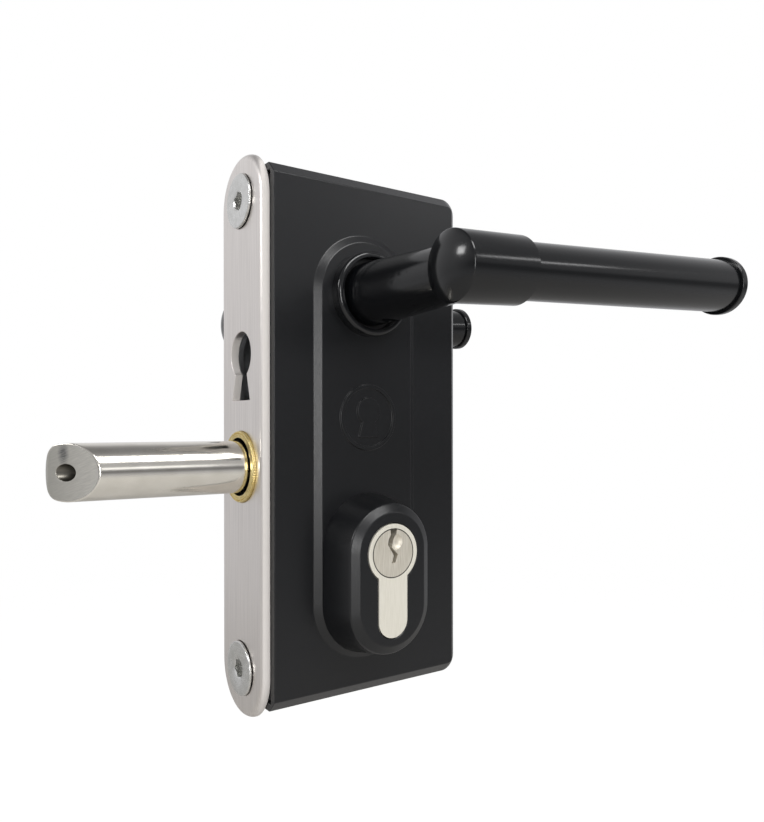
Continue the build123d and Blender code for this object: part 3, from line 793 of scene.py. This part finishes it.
# %% Make them
handle_x, handle_z, pad_y, sleeve_y = 33.3, 51.7, -18.5, -66.3
rise = math.radians(3.5)
grip_line = (math.cos(rise), 0, math.sin(rise)), (0, 1, 0)
rose_profile = rounded(
    [(0.0, 10.7, 0), (3.9, 10.7, 0.25), (3.9, 12.7, 1.25), (0.0, 12.7, 0), (0.0, 10.7, 0)], 9
)
grip_profile = rounded(
    [(2.1, 0.0, 0), (2.1, 7.0, 0.5), (14.1, 7.0, 0), (14.1, 7.65, 0.2), (106.4, 8.5, 0.2), (106.4, 5.52, 0),
     (93.0, 5.52, 0), (93.0, 0.0, 0)]
)
cap_profile = rounded(
    [
        (94.0, 0.0, 0), (94.0, 5.5, 0), (106.4, 5.5, 0), (106.4, 9.45, 0.35), (109.45, 9.45, 1.0),
        (109.6, 0.0, 0),
    ],
    8,
)
for end, mirror in (("front", False), ("rear", True)):
    rose = turned(rose_profile, (handle_x, pad_y, handle_z), *to_the_front)
    solid(end + "_rose_ring", [rose], end + "_rose", mirror)
    grip = turned(grip_profile, (handle_x, sleeve_y, handle_z), *grip_line)
    solid(end + "_grip_bar", [grip], end + "_handle_grip", mirror)
    cap = turned(cap_profile, (handle_x, sleeve_y, handle_z), *grip_line)
    solid(end + "_grip_cap", [cap], end + "_handle_end_cap", mirror)

# %% [markdown]
# ## The cylinder guard
# The guard keeps a thief from gripping the cylinder. It is milled from bar as an oblong that tapers to its
# front, with a broad bevel, and coated. Each ring is an oblong: a half circle above and one below, moved
# apart by the straight sides. The face is the last oblong drawn in, step by step, to the cylinder's outline.

# %% Make the guards
half_count = 64
key_x, key_z, guard_deep = 33.3, -24.6, 13.0
half_straight, below_key = 8.1, 7.6
guard_profile = rounded(
    [(0.0, 16.0, 0), (11.5, 13.765, 0.9), (guard_deep, 11.167, 1.2), (guard_deep, 10.6, 0)], 8
)


def oblong(radius):
    """Half circles of the given radii, half_straight above and below a middle that lies below_key under the
    key's axis."""
    over = np.linspace(0, np.pi, half_count)
    angle = np.concatenate([over, over + np.pi])
    shift = np.repeat([half_straight, -half_straight], half_count) - below_key
    radius = np.asarray(radius, float)[:, None]
    return np.stack([radius * np.cos(angle), radius * np.sin(angle) + shift], -1)


def cylinder_outline(radius=8.8, leg=5.3, leg_centre=-19.5):
    """The cylinder's outline: a half circle above, its arc, a straight leg, a half circle and back up."""
    neck = math.asin(leg / radius)
    part = half_count // 8
    over = np.linspace(0, np.pi, half_count)
    down = np.linspace(np.pi, 1.5 * np.pi - neck, part + 1)[:-1]
    low = np.linspace(np.pi, 2 * np.pi, 4 * part)
    side = np.linspace(radius * math.sin(1.5 * np.pi - neck), leg_centre, part + 1)[:-1]
    left = [radius * np.exp(1j * down), -leg + 1j * side]
    right = [-np.conj(run)[::-1] for run in left[::-1]]
    foot = leg * np.exp(1j * low) + 1j * leg_centre
    line = np.concatenate([radius * np.exp(1j * over), *left, foot, *right])
    return np.stack([line.real, line.imag], -1)


def make_guard():
    """Rings from the hole's back up its wall, over the face and bevel, and down the tapered side."""
    outer = guard_profile[::-1]
    rings = oblong(outer[:, 1])
    hole = cylinder_outline()
    wide = cylinder_outline(8.95, 5.45)
    share = np.linspace(0, 1, 8)[1:-1, None, None]
    face = wide * (1 - share) + rings[0] * share
    outlines = np.concatenate([[hole, hole, wide], face, rings, [hole]])
    flush = np.full(len(face) + 1, guard_deep)
    depths = np.concatenate([[0.0, guard_deep - 0.15], flush, outer[:, 0], [0.0]])
    return carried(outlines, depths[:, None], (key_x, pad_y, key_z), *to_the_front)


for end, mirror in (("front", False), ("rear", True)):
    solid(end + "_guard_block", [make_guard()], end + "_guard", mirror)

# %% [markdown]
# ## The bolt's springs
# Two compression springs push the bolt out. They sit inside the case, so they show only when it is opened. In
# the lock they give way as the bolt draws back; here each is made at its full length.

# %% Make the springs
spring_y, spring_start, spring_length, bolt_travel = 7.1, 25.5, 41.3, 17.0


def make_spring(y, turns=14, coil=2.2, wire=0.4, steps=18, around=10):
    """A tube round the helix (start + length t, y + coil cos a, coil sin a), with a = 2 pi turns t. Each ring
    lies across the helix, spanned by the line away from the coil's axis and by its cross product with the
    way ahead."""
    t = np.linspace(0, 1, turns * steps + 1)[:, None]
    angle = 2 * np.pi * turns * t
    out = np.concatenate([0 * angle, np.cos(angle), np.sin(angle)], 1)
    ahead = 2 * np.pi * turns * coil * np.concatenate([0 * angle, -np.sin(angle), np.cos(angle)], 1)
    ahead[:, 0] = spring_length
    across = np.cross(ahead / np.linalg.norm(ahead, axis=1, keepdims=True), out)
    middle = np.concatenate([spring_start + spring_length * t, 0 * t + y, 0 * t], 1) + coil * out
    ring = circle(around)[None]
    tube = middle[:, None] + wire * (out[:, None] * ring[..., :1] + across[:, None] * ring[..., 1:])
    ends = np.repeat(middle[[0, -1], None], around, 1)
    return np.concatenate([ends[:1], tube, ends[1:]])


springs = solid("latch_springs", [make_spring(spring_y), make_spring(-spring_y)], "bolt_springs", sharp=60)
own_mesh(springs)
